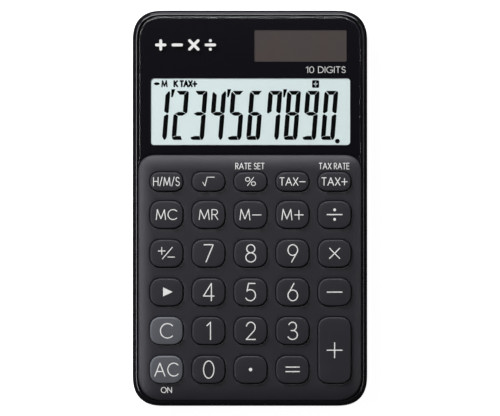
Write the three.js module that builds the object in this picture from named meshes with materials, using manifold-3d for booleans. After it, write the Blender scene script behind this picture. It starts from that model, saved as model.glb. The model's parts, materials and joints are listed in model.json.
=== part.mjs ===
// A slim two-way-power pocket calculator with twenty-nine sprung keys.
// Millimetres. X runs to the right across the face, Y up the face towards the display end, Z out of the face.
// The origin is in the middle of the plane that the four feet stand on.
import * as THREE from "three";
import { mergeVertices } from "three/addons/utils/BufferGeometryUtils.js";
import Module from "manifold-3d";

const wasm = await Module();
wasm.setup();

// ---------------------------------------------------------------- driving dimensions
const BODY = { halfX: 35, halfY: 59, reach: 9.5, power: 2.6 };
const WALL = 1.4; // side wall of both case halves, and the width of the rim round the face
const FIT = 0.05; // clearance between stacked inner pieces

const Z = {
  rear: 0.4, // underside of the rear cover; the feet reach down to 0
  rearFloor: 1.6,
  split: 3.6, // parting line of the two case halves
  board: 3.1,
  boardTop: 3.9,
  deck: 5.9, // underside of the front case's deck
  deckTop: 6.35,
  faceBottom: 6.4, // underside of the key plate and of the printed mask
  rim: 7.15,
  plateEdge: 7.15, // where the plate's pillowed top starts to rise
  plate: 7.65,
  key: 8.4,
};

const KEY = {
  halfX: 4.95,
  halfY: 4.15,
  shortHalfY: 2.9, // the row of function keys
  reach: 3.4,
  shortReach: 2.9,
  power: 2.3,
  gap: 0.15, // between a key and its hole
  flange: 0.5, // how far the flange under the plate stands out
  flangeTop: 6.3,
  flangeBottom: 5.7,
};
const KEY_PITCH = { x: 12.52, y: 11.54 };
const MIDDLE_COLUMN_X = 0.18;
const MEMORY_ROW_Y = -1.97;
const FUNCTION_ROW_Y = 7.88;

const RIM_ROLL = { across: 1.36, down: 0.74 }; // how far the rim rolls over towards its outer edge
const PLATE = {
  halfX: 33.35,
  top: 15.9,
  bottom: -57.45,
  reachTop: 5.3,
  reachBottom: 7.8,
  power: 2.3,
  fillet: 0.25,
};
const PILLOW = 4.8; // how far in from its edge the plate's top keeps rising
const PLATE_SEAM = 0.15;

const DISPLAY_WINDOW = { x: 0.16, y: 28.85, halfX: 29.74, halfY: 9.97, reach: 0.95 };
const SOLAR_WINDOW = { x: 15.04, y: 48.5, halfX: 13.8, halfY: 4.75, reach: 0.4 };
const CELL = { x: -19, y: 49.9, radius: 5.8, height: 3.05, bottom: 1.95 };

const SCREWS = {
  top_left: [-30.6, 55],
  top_right: [30.6, 55],
  bottom_left: [-30.3, -54.3],
  bottom_right: [30.3, -54.3],
};
const SCREW = { shank: 0.85, hole: 0.95, head: 1.5, headHeight: 0.95, seat: 1.6, tip: 5.2 };
const BOSS = { radius: 1.7, bottom: 3.1 };
const FOOT = { x: 25.5, y: 48, radius: 3.1, top: 0.85, pocket: 0.9 };
const STAKES = { radius: 0.75, hole: 0.95, bottom: 2.8, x: 1.5 * KEY_PITCH.x, y: [-7.7, -30.8] };
const BOARD = { halfX: 31.2, top: 42.9, bottom: -52.4 };

const CORNER_STEPS = 6; // straight pieces in a case corner
const KEY_STEPS = 3; // straight pieces in a key corner
const ROUND = 16; // sides of a small round piece

// ---------------------------------------------------------------- materials
function finish(color, roughness, metalness = 0, opacity = 1) {
  return new THREE.MeshStandardMaterial({ color, roughness, metalness, opacity, transparent: opacity < 1 });
}
const MATERIALS = {
  glossBlack: finish(0x0f0e13, 0.15),
  clear: finish(0xf2f6f8, 0.05, 0, 0.2),
  print: finish(0x0c0b10, 0.5),
  plate: finish(0x303034, 0.5),
  key: finish(0x333237, 0.45),
  greyKey: finish(0x585b62, 0.45),
  rear: finish(0x1b1b1e, 0.6),
  foot: finish(0x26262a, 0.9),
  steel: finish(0xa9abae, 0.35, 1),
  board: finish(0x1f5a35, 0.5),
  mat: finish(0xb9bcc0, 0.8),
  glass: finish(0xdfe9ea, 0.08, 0, 0.4),
  polariser: finish(0xd3dfe1, 0.3),
  reflector: finish(0xc9d0cf, 0.4),
  holder: finish(0x232326, 0.6),
  zebra: finish(0x8d7f78, 0.8),
  solar: finish(0x4b4545, 0.2),
  foam: finish(0x2e2e30, 0.95),
  redWire: finish(0xa32020, 0.5),
  blackWire: finish(0x1a1a1a, 0.5),
  contact: finish(0xb9b4a6, 0.3, 1),
  epoxy: finish(0x141414, 0.35),
  ceramic: finish(0xa98f6b, 0.5),
};

// ---------------------------------------------------------------- outlines and solids
// A rounded rectangle with superellipse corners, anticlockwise, grown by `grow` all round.
function outline(plan, grow = 0, steps = CORNER_STEPS) {
  const power = plan.power ?? 2;
  const halfX = plan.halfX + grow;
  const halfY = plan.halfY + grow;
  const reachTop = Math.max((plan.reachTop ?? plan.reach) + grow, 0.3);
  const reachBottom = Math.max((plan.reachBottom ?? plan.reach) + grow, 0.3);
  const points = [];
  for (const [quarter, sx, sy] of [[0, 1, 1], [1, -1, 1], [2, -1, -1], [3, 1, -1]]) {
    const reach = sy > 0 ? reachTop : reachBottom;
    for (let i = 0; i <= steps; i++) {
      const angle = (quarter + i / steps) * (Math.PI / 2);
      const bulge = (value) => Math.abs(value) ** (2 / power);
      points.push(
        new THREE.Vector2(
          (plan.x ?? 0) + sx * (halfX - reach + reach * bulge(Math.cos(angle))),
          (plan.y ?? 0) + sy * (halfY - reach + reach * bulge(Math.sin(angle))),
        ),
      );
    }
  }
  return points;
}

// A closed solid through the plan's outline at each [height, grow] level, from the bottom up.
function lofted(plan, levels, steps = CORNER_STEPS) {
  const rings = levels.map(([height, grow]) => outline(plan, grow, steps).map((p) => [p.x, p.y, height]));
  const count = rings[0].length;
  const index = [];
  for (let ring = 0; ring + 1 < rings.length; ring++) {
    for (let i = 0; i < count; i++) {
      const a = ring * count + i;
      const b = ring * count + ((i + 1) % count);
      index.push(a, b, b + count, a, b + count, a + count);
    }
  }
  const top = (rings.length - 1) * count;
  for (let i = 1; i + 1 < count; i++) {
    index.push(0, i + 1, i);
    index.push(top, top + i, top + i + 1);
  }
  const geometry = new THREE.BufferGeometry();
  geometry.setAttribute("position", new THREE.Float32BufferAttribute(rings.flat(2), 3));
  geometry.setIndex(index);
  return geometry;
}

function prism(plan, bottom, top, grow = 0, steps = CORNER_STEPS) {
  return lofted(plan, [[bottom, grow], [top, grow]], steps);
}

function box(x0, x1, y0, y1, z0, z1) {
  const geometry = new THREE.BoxGeometry(x1 - x0, y1 - y0, z1 - z0);
  return geometry.translate((x0 + x1) / 2, (y0 + y1) / 2, (z0 + z1) / 2);
}

function cylinder(x, y, bottom, top, radius, topRadius = radius, sides = ROUND) {
  const geometry = new THREE.CylinderGeometry(topRadius, radius, top - bottom, sides);
  return geometry.rotateX(Math.PI / 2).translate(x, y, (bottom + top) / 2);
}

// A profile of [radius, height] points, from the axis back to the axis, turned about Z.
function turned(profile, sides = ROUND) {
  const points = profile.map(([radius, height]) => new THREE.Vector2(radius, height));
  return new THREE.LatheGeometry(points, sides).rotateX(Math.PI / 2);
}

function solid(geometry) {
  const plain = geometry.clone();
  plain.deleteAttribute("normal");
  plain.deleteAttribute("uv");
  const merged = mergeVertices(plain, 1e-4);
  return new wasm.Manifold(
    new wasm.Mesh({
      numProp: 3,
      vertProperties: new Float32Array(merged.attributes.position.array),
      triVerts: new Uint32Array(merged.index.array),
    }),
  );
}

function joined(base, ...geometries) {
  return geometries.reduce((sum, geometry) => sum.add(solid(geometry)), base);
}

function cut(base, ...geometries) {
  return geometries.reduce((rest, geometry) => rest.subtract(solid(geometry)), base);
}

function geometryOf(made) {
  const { vertProperties, triVerts } = made.getMesh();
  const geometry = new THREE.BufferGeometry();
  geometry.setAttribute("position", new THREE.BufferAttribute(new Float32Array(vertProperties), 3));
  geometry.setIndex(new THREE.BufferAttribute(new Uint32Array(triVerts), 1));
  geometry.computeVertexNormals();
  return geometry;
}

function piece(name, shape, material, position = [0, 0, 0]) {
  const geometry = shape.isBufferGeometry ? shape : geometryOf(shape);
  const mesh = new THREE.Mesh(geometry, material);
  mesh.name = name;
  mesh.position.set(...position);
  return mesh;
}

// ---------------------------------------------------------------- keys
const COLUMNS = [-2, -1, 0, 1, 2].map((column) => MIDDLE_COLUMN_X + column * KEY_PITCH.x);
const ROWS = [0, 1, 2, 3, 4].map((row) => MEMORY_ROW_Y - row * KEY_PITCH.y);
const KEY_ROWS = [
  { y: FUNCTION_ROW_Y, kind: "short", names: ["hms", "root", "percent", "tax_minus", "tax_plus"] },
  { y: ROWS[0], kind: "square", names: ["mc", "mr", "m_minus", "m_plus", "divide"] },
  { y: ROWS[1], kind: "square", names: ["sign", "7", "8", "9", "multiply"] },
  { y: ROWS[2], kind: "square", names: ["shift", "4", "5", "6", "minus"] },
  { y: ROWS[3], kind: "square", names: ["c", "1", "2", "3"] },
  { y: ROWS[4], kind: "square", names: ["ac", "0", "point", "equals"] },
];
const KEYS = [];
for (const { y, kind, names } of KEY_ROWS) {
  names.forEach((name, i) => KEYS.push({ name, kind, x: COLUMNS[i], y }));
}
KEYS.push({ name: "plus", kind: "tall", x: COLUMNS[4], y: (ROWS[3] + ROWS[4]) / 2 });

function keyPlan(kind) {
  const halfY = { short: KEY.shortHalfY, square: KEY.halfY, tall: KEY.halfY + KEY_PITCH.y / 2 }[kind];
  return { halfX: KEY.halfX, halfY, reach: kind === "short" ? KEY.shortReach : KEY.reach, power: KEY.power };
}

function keyShape(kind) {
  return lofted(
    keyPlan(kind),
    [
      [KEY.flangeBottom, KEY.flange],
      [KEY.flangeTop, KEY.flange],
      [KEY.flangeTop, 0],
      [Z.key - 0.3, 0],
      [Z.key, -0.4],
    ],
    KEY_STEPS,
  );
}

function makeKeys() {
  const group = new THREE.Group();
  const shapes = { short: keyShape("short"), square: keyShape("square"), tall: keyShape("tall") };
  for (const { name, kind, x, y } of KEYS) {
    const material = name === "c" || name === "ac" ? MATERIALS.greyKey : MATERIALS.key;
    group.add(piece(`key_${name}`, shapes[kind], material, [x, y, 0]));
  }
  return group;
}

// ---------------------------------------------------------------- key plate
function platePlan() {
  return {
    y: (PLATE.top + PLATE.bottom) / 2,
    halfX: PLATE.halfX,
    halfY: (PLATE.top - PLATE.bottom) / 2,
    reachTop: PLATE.reachTop,
    reachBottom: PLATE.reachBottom,
    power: PLATE.power,
  };
}

// The top rises from its edge in a parabola, so that it looks pillowed.
function pillowHeight(inset) {
  return Z.plate - (Z.plate - Z.plateEdge) * (1 - inset / PILLOW) ** 2;
}

function makeKeyPlate() {
  const { fillet } = PLATE;
  const levels = [
    [Z.faceBottom, 0],
    [Z.plateEdge - fillet, 0],
    [Z.plateEdge - fillet * 0.4, -fillet * 0.2],
  ];
  const bands = 3;
  for (let i = 0; i <= bands; i++) {
    const inset = fillet + ((PILLOW - fillet) * i) / bands;
    levels.push([pillowHeight(inset), -inset]);
  }
  let plate = solid(lofted(platePlan(), levels));
  for (const [sx, y] of [-1, 1].flatMap((side) => STAKES.y.map((y) => [side, y]))) {
    plate = joined(plate, cylinder(sx * STAKES.x, y, STAKES.bottom, Z.faceBottom + 0.5, STAKES.radius));
  }
  for (const { kind, x, y } of KEYS) {
    const hole = prism({ ...keyPlan(kind), x, y }, Z.faceBottom - 0.2, Z.plate + 0.5, KEY.gap, KEY_STEPS);
    plate = cut(plate, hole);
  }
  return piece("key_plate", plate, MATERIALS.plate);
}

// ---------------------------------------------------------------- case
function makeFrontCase() {
  const levels = [
    [Z.split + FIT, -0.12],
    [Z.split + 0.2, 0],
  ];
  const bands = 4;
  for (let i = 0; i <= bands; i++) {
    const share = i / bands;
    levels.push([Z.rim - RIM_ROLL.down * (1 - share) ** 2, -RIM_ROLL.across * share]);
  }
  let made = cut(
    solid(lofted(BODY, levels)),
    prism(BODY, Z.deckTop, Z.rim + 1, -WALL),
    prism(BODY, Z.split - 1, Z.deck, -WALL),
    prism(DISPLAY_WINDOW, Z.deck - 1, Z.rim, 0.4, 2),
    prism(SOLAR_WINDOW, Z.deck - 1, Z.rim, 0.4, 1),
    prism(platePlan(), Z.deck - 1, Z.rim, -1.6),
  );
  const holderRing = cut(
    solid(cylinder(CELL.x, CELL.y, 2.3, Z.deck + 0.2, CELL.radius + 0.95, CELL.radius + 0.95, 32)),
    cylinder(CELL.x, CELL.y, 2, Z.deck, CELL.radius + 0.15, CELL.radius + 0.15, 32),
    box(CELL.x - 2, CELL.x + 2, CELL.y - CELL.radius - 2, CELL.y - 3, 2, Z.deck - 0.2),
  );
  made = made.add(holderRing);
  for (const [x, y] of Object.values(SCREWS)) {
    made = joined(made, cylinder(x, y, BOSS.bottom, Z.deckTop, BOSS.radius));
  }
  for (const [x, y] of Object.values(SCREWS)) {
    made = cut(made, cylinder(x, y, BOSS.bottom - 1, SCREW.tip + 0.3, SCREW.hole));
  }
  return piece("front_case", made, MATERIALS.glossBlack);
}

function makeRearCover() {
  const shell = lofted(BODY, [
    [Z.rear, -2.3],
    [Z.rear + 0.2, -1.2],
    [Z.rear + 0.7, -0.45],
    [Z.rear + 1.5, -0.05],
    [Z.split - 0.15, 0],
    [Z.split, -0.12],
  ]);
  let made = solid(shell);
  made = joined(made, prism(BODY, Z.split - 0.3, Z.split + 0.7, -WALL - 0.1));
  made = cut(
    made,
    lofted(BODY, [
      [Z.rearFloor, -2.9],
      [Z.rearFloor + 0.8, -2.15],
      [Z.split + 1, -2.05],
    ]),
  );
  for (const y of [-38, -16, 8, 36]) {
    made = joined(made, box(-33, 33, y - 0.4, y + 0.4, Z.rearFloor - 0.2, Z.board - FIT));
  }
  for (const [x, y] of Object.values(SCREWS)) {
    made = joined(made, cylinder(x, y, Z.rearFloor - 0.2, BOSS.bottom - 0.1, 2.4));
  }
  for (const [x, y] of Object.values(SCREWS)) {
    made = cut(
      made,
      cylinder(x, y, Z.rear - 1, SCREW.seat, SCREW.head + 0.15),
      cylinder(x, y, SCREW.seat - 0.5, BOSS.bottom + 0.5, SCREW.hole),
      cylinder(x, y, BOSS.bottom - FIT, Z.split + 2, BOSS.radius + 0.3),
    );
  }
  for (const [sx, sy] of [[-1, -1], [1, -1], [-1, 1], [1, 1]]) {
    made = cut(made, cylinder(sx * FOOT.x, sy * FOOT.y, Z.rear - 1, FOOT.pocket, FOOT.radius + 0.1));
  }
  return piece("rear_cover", made, MATERIALS.rear);
}

function makeFeet() {
  const group = new THREE.Group();
  const shape = turned([
    [0, 0],
    [FOOT.radius - 0.45, 0],
    [FOOT.radius, 0.3],
    [FOOT.radius, FOOT.top],
    [0, FOOT.top],
  ]);
  const corners = { front_left: [-1, -1], front_right: [1, -1], back_left: [-1, 1], back_right: [1, 1] };
  for (const [name, [sx, sy]] of Object.entries(corners)) {
    group.add(piece(`foot_${name}`, shape, MATERIALS.foot, [sx * FOOT.x, sy * FOOT.y, 0]));
  }
  return group;
}

// A pan-head tapping screw, head down, with a cross recess and a ridged shank.
function makeScrews() {
  const group = new THREE.Group();
  const seat = SCREW.seat - 0.02;
  const profile = [
    [0, seat - SCREW.headHeight],
    [SCREW.head * 0.6, seat - SCREW.headHeight],
    [SCREW.head, seat - SCREW.headHeight * 0.55],
    [SCREW.head, seat],
    [SCREW.shank - 0.2, seat],
  ];
  const ridges = 3;
  const pitch = (SCREW.tip - 0.5 - seat) / ridges;
  for (let i = 0; i < ridges; i++) {
    profile.push([SCREW.shank, seat + (i + 0.5) * pitch]);
    profile.push([SCREW.shank - 0.2, seat + (i + 1) * pitch]);
  }
  profile.push([0, SCREW.tip]);
  const arm = 0.85;
  const slot = 0.17;
  const recessTop = seat - SCREW.headHeight + 0.55;
  const shape = cut(
    solid(turned(profile, 12)),
    box(-arm, arm, -slot, slot, 0, recessTop),
    box(-slot, slot, -arm, arm, 0, recessTop),
  );
  for (const [name, [x, y]] of Object.entries(SCREWS)) {
    group.add(piece(`case_screw_${name}`, shape, MATERIALS.steel, [x, y, 0]));
  }
  return group;
}

// ---------------------------------------------------------------- display window
// The panel fills the recess above the key plate and wraps round the plate's upper corners.
function panelShape(bottom, top, inset) {
  const whole = solid(prism(BODY, bottom, top, -WALL - 0.2 - inset));
  const tip = PLATE.top - PLATE.reachTop;
  return cut(
    whole,
    box(-40, 40, -70, tip + 0.6, bottom - 1, top + 1),
    prism(platePlan(), bottom - 1, top + 1, PLATE_SEAM + inset),
  );
}

function makeDisplayPanel() {
  return piece("display_panel", panelShape(Z.faceBottom + 0.12, Z.rim, 0), MATERIALS.clear);
}

function makePanelMask() {
  const mask = cut(
    panelShape(Z.faceBottom, Z.faceBottom + 0.1, 0.15),
    prism(DISPLAY_WINDOW, 0, Z.key, 0, 3),
    prism(SOLAR_WINDOW, 0, Z.key, 0, 2),
  );
  return piece("panel_mask", mask, MATERIALS.print);
}

// The liquid crystal display: two glass sheets between a polariser and a reflector, in a black holder,
// with a zebra strip that joins the lower edge of the front glass to the board.
function makeDisplay() {
  const group = new THREE.Group();
  const sheet = { top: 40.2, bottom: 16.4, halfX: 31.2 };
  const ledge = 3; // the front glass reaches this far below the rear one
  const front = [5.3, Z.deck - 0.04];
  const rear = [4.72, front[0] - 0.02];
  const reflector = [4.5, rear[0] - 0.02];
  const strip = { halfX: 29, bottom: sheet.bottom + 0.5, top: sheet.bottom + 2.5 };

  function slab(rim, bottom, heights) {
    return box(rim - sheet.halfX, sheet.halfX - rim, bottom, sheet.top - rim, ...heights);
  }
  const polariser = prism(DISPLAY_WINDOW, Z.deck - 0.02, Z.deckTop + 0.02, 0.25, 1);
  group.add(piece("lcd_polariser", polariser, MATERIALS.polariser));
  group.add(piece("lcd_front_glass", slab(0, sheet.bottom, front), MATERIALS.glass));
  group.add(piece("lcd_rear_glass", slab(0, sheet.bottom + ledge, rear), MATERIALS.glass));
  group.add(piece("lcd_reflector", slab(0.2, sheet.bottom + ledge + 0.2, reflector), MATERIALS.reflector));
  const zebra = box(-strip.halfX, strip.halfX, strip.bottom, strip.top, Z.boardTop + 0.02, rear[1]);
  group.add(piece("zebra_strip", zebra, MATERIALS.zebra));

  function holderBox(grow, bottom, top) {
    return box(-sheet.halfX - grow, sheet.halfX + grow, sheet.bottom - grow, sheet.top + grow, bottom, top);
  }
  const holder = cut(
    solid(holderBox(1.1, Z.boardTop + FIT, Z.deck - FIT)),
    holderBox(0.15, reflector[0] - 0.05, Z.deck + 1),
    box(-strip.halfX - 0.3, strip.halfX + 0.3, strip.bottom - 0.2, strip.top + 0.2, 0, Z.deck),
    box(4 - sheet.halfX, sheet.halfX - 4, sheet.bottom + ledge + 4, sheet.top - 4, 0, Z.deck),
  );
  group.add(piece("lcd_holder", holder, MATERIALS.holder));
  return group;
}

// ---------------------------------------------------------------- power
function leadShape(points) {
  const section = new THREE.Shape().absarc(0, 0, 0.35, 0, 2 * Math.PI);
  const path = new THREE.CatmullRomCurve3(points.map((p) => new THREE.Vector3(...p)));
  return new THREE.ExtrudeGeometry(section, { steps: 10, curveSegments: 4, extrudePath: path });
}

// A strip of spring metal, bent in the YZ plane and centred on x.
function stripShape(x, width, corners, thickness) {
  const shape = new THREE.Shape(corners.map(([y, z]) => new THREE.Vector2(y, z)));
  const back = corners.map(([y, z, dy, dz]) => new THREE.Vector2(y + dy * thickness, z + dz * thickness));
  for (const p of back.reverse()) shape.lineTo(p.x, p.y);
  const geometry = new THREE.ExtrudeGeometry(shape, { depth: width, bevelEnabled: false });
  return geometry.rotateY(Math.PI / 2).rotateX(Math.PI / 2).translate(x - width / 2, 0, 0);
}

function makePower() {
  const group = new THREE.Group();
  const solarBack = 5.25;
  const solarCell = prism(SOLAR_WINDOW, solarBack, Z.deckTop + 0.02, 0.3, 1);
  group.add(piece("solar_cell", solarCell, MATERIALS.solar));
  const solarPad = prism(SOLAR_WINDOW, Z.rearFloor + FIT, solarBack - FIT, -1, 1);
  group.add(piece("solar_pad", solarPad, MATERIALS.foam));
  const upperEnd = solarBack - 0.4;
  const lowerEnd = Z.boardTop + 0.38;
  const plusLead = [
    [28.3, 45.2, upperEnd],
    [27.5, 43.2, upperEnd],
    [23, 42.3, lowerEnd],
    [17, 42.15, lowerEnd],
  ];
  const minusLead = [
    [1.8, 45.2, upperEnd],
    [2.3, 43.4, upperEnd],
    [5, 42.3, lowerEnd],
    [9, 42.15, lowerEnd],
  ];
  group.add(piece("solar_lead_plus", leadShape(plusLead), MATERIALS.redWire));
  group.add(piece("solar_lead_minus", leadShape(minusLead), MATERIALS.blackWire));

  const canTop = CELL.bottom + CELL.height;
  const capRadius = CELL.radius - 1.1;
  const cell = turned(
    [
      [0, CELL.bottom],
      [capRadius, CELL.bottom],
      [capRadius, CELL.bottom + 0.35],
      [CELL.radius - 0.3, CELL.bottom + 0.35],
      [CELL.radius, CELL.bottom + 0.7],
      [CELL.radius, canTop - 0.3],
      [CELL.radius - 0.3, canTop],
      [0, canTop],
    ],
    32,
  );
  group.add(piece("button_cell", cell, MATERIALS.steel, [CELL.x, CELL.y, 0]));
  const foot = 41.5;
  const bend = 42.6;
  const tip = CELL.y + 1;
  const metal = 0.18;
  const width = 2.6;
  function contact(boardSide, cellSide, away) {
    const corners = [
      [foot, boardSide, 0, away],
      [bend, boardSide, -1, away],
      [bend, cellSide, -1, away],
      [tip, cellSide, 0, away],
    ];
    return stripShape(CELL.x, width, corners, metal);
  }
  const plus = contact(Z.boardTop + 0.02, canTop + FIT, 1);
  const minus = contact(Z.board - 0.02, CELL.bottom - FIT, -1);
  group.add(piece("battery_contact_plus", plus, MATERIALS.contact));
  group.add(piece("battery_contact_minus", minus, MATERIALS.contact));
  return group;
}

// ---------------------------------------------------------------- electronics
function makeBoard() {
  const group = new THREE.Group();
  const middle = (BOARD.top + BOARD.bottom) / 2;
  const plan = { y: middle, halfX: BOARD.halfX, halfY: BOARD.top - middle, reach: 2 };
  let board = solid(prism(plan, Z.board, Z.boardTop, 0, 3));
  for (const [sx, y] of [-1, 1].flatMap((side) => STAKES.y.map((y) => [side, y]))) {
    board = cut(board, cylinder(sx * STAKES.x, y, 0, Z.key, STAKES.hole, STAKES.hole, 12));
  }
  group.add(piece("main_board", board, MATERIALS.board));

  const underside = Z.board - 0.02;
  const blob = turned([[0, -1], [1.6, -0.9], [3.1, -0.5], [3.8, 0], [0, 0]], 24);
  group.add(piece("chip_blob", blob, MATERIALS.epoxy, [0, 22, underside]));
  group.add(piece("capacitor", box(10, 13.2, 20, 21.6, underside - 1.1, underside), MATERIALS.ceramic));
  group.add(piece("diode", box(-12.6, -10, 21, 22.4, underside - 1, underside), MATERIALS.epoxy));
  return group;
}

// The silicone mat has one hollow dome under each key, open towards the board.
function makeDomeMat() {
  const bottom = Z.boardTop + 0.02;
  const base = bottom + 0.48;
  const top = KEY.flangeBottom - FIT;
  const plan = { y: -19.9, halfX: 30.6, halfY: 32.5, reach: 3 };
  const sides = 6;
  let mat = solid(prism(plan, bottom, base, 0, 3));
  for (const { kind, x, y } of KEYS) {
    const foot = kind === "short" ? 2.5 : 3;
    const dome = cut(
      solid(cylinder(x, y, bottom + 0.2, top, foot, foot - 1, sides)),
      cylinder(x, y, bottom, top - 0.6, foot - 0.5, foot - 1.3, sides),
    );
    mat = cut(mat, cylinder(x, y, bottom - 1, base + 1, foot - 0.4, foot - 0.4, sides)).add(dome);
  }
  for (const [sx, y] of [-1, 1].flatMap((side) => STAKES.y.map((y) => [side, y]))) {
    mat = cut(mat, cylinder(sx * STAKES.x, y, 0, Z.key, STAKES.hole, STAKES.hole, 12));
  }
  return piece("dome_mat", mat, MATERIALS.mat);
}

// ---------------------------------------------------------------- assembly
const calculator = new THREE.Group();
calculator.add(makeRearCover(), makeFrontCase(), makeKeyPlate(), makeDisplayPanel(), makePanelMask());
calculator.add(makeKeys(), makeDomeMat(), makeBoard(), makeDisplay(), makePower(), makeFeet(), makeScrews());

export default calculator;
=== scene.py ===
import json
import math

import bpy
import numpy as np
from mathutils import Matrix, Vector, geometry

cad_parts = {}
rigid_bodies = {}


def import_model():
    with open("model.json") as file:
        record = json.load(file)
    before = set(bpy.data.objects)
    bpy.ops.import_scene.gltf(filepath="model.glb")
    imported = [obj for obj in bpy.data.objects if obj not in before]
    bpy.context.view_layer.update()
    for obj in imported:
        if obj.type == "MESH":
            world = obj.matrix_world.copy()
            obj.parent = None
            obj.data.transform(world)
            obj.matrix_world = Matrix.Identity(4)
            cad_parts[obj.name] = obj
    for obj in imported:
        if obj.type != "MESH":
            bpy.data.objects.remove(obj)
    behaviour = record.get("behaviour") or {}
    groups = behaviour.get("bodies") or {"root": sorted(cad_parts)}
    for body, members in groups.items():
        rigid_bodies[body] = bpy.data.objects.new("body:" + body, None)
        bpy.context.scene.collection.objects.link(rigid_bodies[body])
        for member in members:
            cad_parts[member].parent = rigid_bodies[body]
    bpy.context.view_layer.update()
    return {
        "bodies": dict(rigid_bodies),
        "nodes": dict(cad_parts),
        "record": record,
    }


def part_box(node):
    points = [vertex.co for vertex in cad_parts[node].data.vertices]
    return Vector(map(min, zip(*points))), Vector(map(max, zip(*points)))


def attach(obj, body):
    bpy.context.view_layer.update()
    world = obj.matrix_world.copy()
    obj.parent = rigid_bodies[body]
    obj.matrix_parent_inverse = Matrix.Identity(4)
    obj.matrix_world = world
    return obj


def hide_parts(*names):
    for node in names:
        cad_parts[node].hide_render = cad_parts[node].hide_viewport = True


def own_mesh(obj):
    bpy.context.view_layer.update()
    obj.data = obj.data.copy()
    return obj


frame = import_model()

# ---------------- sizes, in millimetres
MM = 0.001
CASE = "case"

BODY_REACH, BODY_POWER = 9.5, 2.6  # superellipse corners of the case
PLATE_REACH_TOP, PLATE_REACH_BOTTOM, PLATE_POWER = 5.3, 7.8, 2.3
KEY_REACH, SHORT_KEY_REACH, KEY_POWER = 3.4, 2.9, 2.3
KEY_FLANGE, FLANGE_THICKNESS = 0.5, 0.6  # how far the hidden flange stands out, and its thickness
KEY_GAP = 0.15  # between a key and its hole
SHORT_KEY_LIMIT = 7  # a key shorter than this has the smaller corners
KEY_ROUND = 0.42  # rounding of a key cap's top edge
KEY_DOME, KEY_CROWN = 0.07, 0.3  # how far a cap bulges, and the half width of its flat crown
CAP_BELOW_LEGEND = 0.02  # room for the print under the CAD key's top
HOLE_ROUND = 0.12  # rounding of the key plate's holes
WALL = 1.4  # width of the case's rim
DECK_TOP, DECK_BOTTOM = 6.35, 5.9  # the front case's shelf, which carries the panel and key plate
PLATE_LEDGE = 1.6  # how far the shelf reaches in under the key plate
WINDOW_CLEARANCE = 0.4  # round each window, through the shelf
REAR_DEPTH = 3.2  # from the rear cover's underside to the parting line
REAR_FLOOR = 1.6  # inside of the rear cover
PARTING_BEVEL = [(0, 0.12), (0.05, 0.05), (0.15, 0)]  # (distance from the parting line, inset)
REAR_CORNER = [  # (height, inset) of the rounding round the underside
    (0, 2.3), (0.03, 1.95), (0.1, 1.6), (0.22, 1.2), (0.4, 0.8), (0.7, 0.42), (1.1, 0.16), (1.6, 0.03),
]
SCREW_HOLE = 0.95
RIM_ACROSS, RIM_DOWN = 1.36, 0.74  # how far the rim rolls over towards its outer edge
PANEL_GROOVE = 0.2  # between the rim and the panel
PANEL_BEVEL, PANEL_BEVEL_DROP = 0.8, 0.24  # how wide the panel's bevel is, and how far it falls
MASK_INSET = 0.15  # from the panel's edge to its print's edge
PLATE_SEAM = 0.15  # between the panel and the key plate
PILLOW = 4.8  # how far in from its edge the key plate's top keeps rising
PLATE_EDGE = 7.15  # height of the key plate's outer edge
PLATE_FILLET = 0.25
INK_THICKNESS, INK_SUNK = 0.015, 0.02  # how far print stands out, and how far it reaches in
CORNER_STEPS, PLATE_STEPS, HOLE_STEPS = 28, 16, 12
BELOW = -0.6  # where cuts from underneath start, clear of the case
LONGEST_SIDE, LONGEST_STROKE = 1.2, 0.5  # of an edge, and of a run of print, on a curved surface
LEAST_REACH = 0.05  # of a rounded corner that shrinks
SHARED_DECIMALS = 4  # points that agree to this many decimals are one vertex


def corners(node):
    """Lowest and highest corner of a CAD node, in millimetres."""
    low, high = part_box(node)
    return low / MM, high / MM


def middle(node):
    low, high = corners(node)
    return (low + high) / 2


# ---------------- outlines
class Plan:
    """A rounded rectangle with superellipse corners."""

    def __init__(self, low, high, reach, power=2.0, reach_bottom=None):
        self.x, self.y = (low[0] + high[0]) / 2, (low[1] + high[1]) / 2
        self.half_x, self.half_y = (high[0] - low[0]) / 2, (high[1] - low[1]) / 2
        self.reach, self.power = reach, power
        self.reach_bottom = reach if reach_bottom is None else reach_bottom

    def corner(self, sign_x, sign_y, grow, angle):
        reach = max((self.reach if sign_y > 0 else self.reach_bottom) + grow, LEAST_REACH)
        across = reach * abs(math.cos(angle)) ** (2 / self.power)
        along = reach * abs(math.sin(angle)) ** (2 / self.power)
        return (
            self.x + sign_x * (self.half_x + grow - reach + across),
            self.y + sign_y * (self.half_y + grow - reach + along),
        )

    def ring(self, grow=0.0, steps=CORNER_STEPS):
        """Points anticlockwise round the outline, grown by `grow` all round."""
        points = []
        for quarter, (sign_x, sign_y) in enumerate([(1, 1), (-1, 1), (-1, -1), (1, -1)]):
            for i in range(steps + 1):
                angle = (quarter + i / steps) * math.pi / 2
                points.append(self.corner(sign_x, sign_y, grow, angle))
        return points

    def inset_at(self, x, y):
        """How far inside the straight sides a point lies."""
        return min(self.half_x - abs(x - self.x), self.half_y - abs(y - self.y))


def divided(ring, like=None):
    """The ring with its long sides divided evenly, into the parts that suit the ring `like`."""
    points = []
    measured = ring if like is None else like
    for i, (x0, y0) in enumerate(ring):
        j = (i + 1) % len(ring)
        x1, y1 = ring[j]
        parts = max(1, math.ceil(math.dist(measured[i], measured[j]) / LONGEST_SIDE))
        points += [(x0 + (x1 - x0) * k / parts, y0 + (y1 - y0) * k / parts) for k in range(parts)]
    return points


def circle(x, y, radius, steps=48):
    turns = [2 * math.pi * i / steps for i in range(steps)]
    return [(x + radius * math.cos(t), y + radius * math.sin(t)) for t in turns]


def at_height(ring, z):
    return [(x, y, z) for x, y in ring]


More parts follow.
